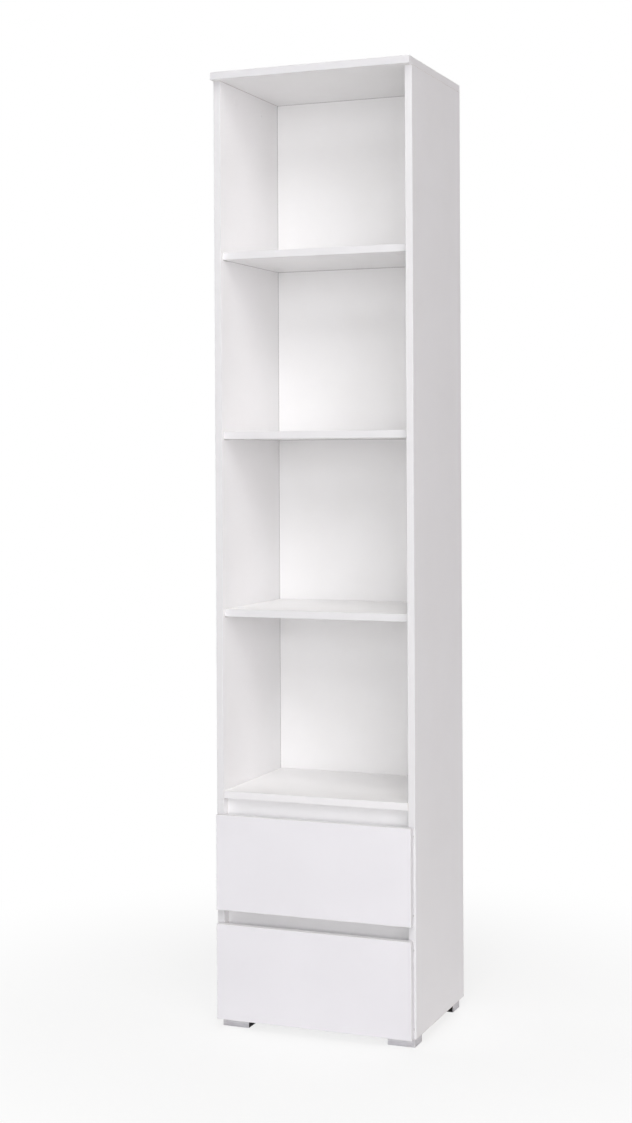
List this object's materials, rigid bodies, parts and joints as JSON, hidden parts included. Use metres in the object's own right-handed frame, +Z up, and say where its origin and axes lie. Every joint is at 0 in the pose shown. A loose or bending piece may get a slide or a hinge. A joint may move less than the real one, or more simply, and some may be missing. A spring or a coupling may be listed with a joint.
{
  "type": "bookcase",
  "caption": "Tall narrow white bookcase with open bays over handle-less drawers on roller runners, on low plastic feet.",
  "frame": {"origin": "on the floor, under the middle of the bookcase's bounding box", "axes": "+X to the right seen from the front, +Y to the back, +Z up; the drawers open towards -Y"},
  "size_m": [0.45, 0.347, 2.05],
  "materials": {
    "white_melamine": "satin melamine",
    "white_hardboard": "satin lacquer",
    "white_foil": "satin foil",
    "white_steel": "epoxy coated",
    "white_nylon": "moulded",
    "white_plastic": "moulded",
    "zinc_diecast": "zinc die-cast",
    "zinc_steel": "zinc plated",
    "beech": "bare",
    "black_plastic": "moulded",
    "silver_plastic": "metallic satin",
    "clear_soft_plastic": "translucent"
  },
  "bodies": {
    "carcass": {"side_panel_left": "white_melamine", "side_panel_right": "white_melamine", "top_board": "white_melamine", "bottom_board": "white_melamine", "lower_shelf": "white_melamine", "middle_shelf": "white_melamine", "upper_shelf": "white_melamine", "drawer_deck": "white_melamine", "lower_rail": "white_melamine", "upper_rail": "white_melamine", "back_panel": "white_hardboard", "lower_cabinet_runner_left": "white_steel", "lower_cabinet_runner_right": "white_steel", "upper_cabinet_runner_left": "white_steel", "upper_cabinet_runner_right": "white_steel", "cam_locks": "zinc_diecast", "cam_bolts": "zinc_steel", "foot_screws": "zinc_steel", "runner_screws": "zinc_steel", "cam_caps": "white_plastic", "dowels": "beech", "bumpers": "clear_soft_plastic", "foot_front_left": "black_plastic", "foot_front_right": "black_plastic", "foot_back_left": "black_plastic", "foot_back_right": "black_plastic", "foot_trim_front_left": "silver_plastic", "foot_trim_front_right": "silver_plastic", "foot_trim_back_left": "silver_plastic", "foot_trim_back_right": "silver_plastic"},
    "lower_drawer": {"lower_drawer_front": "white_melamine", "lower_drawer_bottom": "white_hardboard", "lower_drawer_side_left": "white_foil", "lower_drawer_side_right": "white_foil", "lower_drawer_back": "white_foil", "lower_drawer_runner_left": "white_steel", "lower_drawer_runner_right": "white_steel", "lower_drawer_cams": "zinc_diecast", "lower_drawer_bolts": "zinc_steel", "lower_drawer_back_screws": "zinc_steel", "lower_drawer_runner_screws": "zinc_steel"},
    "lower_cabinet_roller_left": {"lower_cabinet_roller_left": "white_nylon"},
    "lower_cabinet_roller_right": {"lower_cabinet_roller_right": "white_nylon"},
    "lower_drawer_roller_left": {"lower_drawer_roller_left": "white_nylon"},
    "lower_drawer_roller_right": {"lower_drawer_roller_right": "white_nylon"},
    "upper_drawer": {"upper_drawer_front": "white_melamine", "upper_drawer_bottom": "white_hardboard", "upper_drawer_side_left": "white_foil", "upper_drawer_side_right": "white_foil", "upper_drawer_back": "white_foil", "upper_drawer_runner_left": "white_steel", "upper_drawer_runner_right": "white_steel", "upper_drawer_cams": "zinc_diecast", "upper_drawer_bolts": "zinc_steel", "upper_drawer_back_screws": "zinc_steel", "upper_drawer_runner_screws": "zinc_steel"},
    "upper_cabinet_roller_left": {"upper_cabinet_roller_left": "white_nylon"},
    "upper_cabinet_roller_right": {"upper_cabinet_roller_right": "white_nylon"},
    "upper_drawer_roller_left": {"upper_drawer_roller_left": "white_nylon"},
    "upper_drawer_roller_right": {"upper_drawer_roller_right": "white_nylon"}
  },
  "joints": [
    {"name": "lower_drawer_slide", "type": "slide", "parent": "carcass", "child": "lower_drawer", "axis": [0, -1, 0], "range_m": [0, 0.225]},
    {"name": "lower_cabinet_roller_left_spin", "type": "hinge", "parent": "carcass", "child": "lower_cabinet_roller_left", "pos_m": [-0.20275, -0.1405, 0.0665], "axis": [1, 0, 0], "continuous": true},
    {"name": "lower_drawer_roller_left_spin", "type": "hinge", "parent": "lower_drawer", "child": "lower_drawer_roller_left", "pos_m": [-0.20275, 0.1285, 0.0665], "axis": [1, 0, 0], "continuous": true},
    {"name": "lower_cabinet_roller_right_spin", "type": "hinge", "parent": "carcass", "child": "lower_cabinet_roller_right", "pos_m": [0.20275, -0.1405, 0.0665], "axis": [1, 0, 0], "continuous": true},
    {"name": "lower_drawer_roller_right_spin", "type": "hinge", "parent": "lower_drawer", "child": "lower_drawer_roller_right", "pos_m": [0.20275, 0.1285, 0.0665], "axis": [1, 0, 0], "continuous": true},
    {"name": "upper_drawer_slide", "type": "slide", "parent": "carcass", "child": "upper_drawer", "axis": [0, -1, 0], "range_m": [0, 0.225]},
    {"name": "upper_cabinet_roller_left_spin", "type": "hinge", "parent": "carcass", "child": "upper_cabinet_roller_left", "pos_m": [-0.20275, -0.1405, 0.3005], "axis": [1, 0, 0], "continuous": true},
    {"name": "upper_drawer_roller_left_spin", "type": "hinge", "parent": "upper_drawer", "child": "upper_drawer_roller_left", "pos_m": [-0.20275, 0.1285, 0.3005], "axis": [1, 0, 0], "continuous": true},
    {"name": "upper_cabinet_roller_right_spin", "type": "hinge", "parent": "carcass", "child": "upper_cabinet_roller_right", "pos_m": [0.20275, -0.1405, 0.3005], "axis": [1, 0, 0], "continuous": true},
    {"name": "upper_drawer_roller_right_spin", "type": "hinge", "parent": "upper_drawer", "child": "upper_drawer_roller_right", "pos_m": [0.20275, 0.1285, 0.3005], "axis": [1, 0, 0], "continuous": true}
  ],
  "couplings": [
    {"joint": "lower_cabinet_roller_left_spin", "follows": "lower_drawer_slide", "rad_per_m": 90.909},
    {"joint": "lower_drawer_roller_left_spin", "follows": "lower_drawer_slide", "rad_per_m": 90.909},
    {"joint": "lower_cabinet_roller_right_spin", "follows": "lower_drawer_slide", "rad_per_m": 90.909},
    {"joint": "lower_drawer_roller_right_spin", "follows": "lower_drawer_slide", "rad_per_m": 90.909},
    {"joint": "upper_cabinet_roller_left_spin", "follows": "upper_drawer_slide", "rad_per_m": 90.909},
    {"joint": "upper_drawer_roller_left_spin", "follows": "upper_drawer_slide", "rad_per_m": 90.909},
    {"joint": "upper_cabinet_roller_right_spin", "follows": "upper_drawer_slide", "rad_per_m": 90.909},
    {"joint": "upper_drawer_roller_right_spin", "follows": "upper_drawer_slide", "rad_per_m": 90.909}
  ]
}
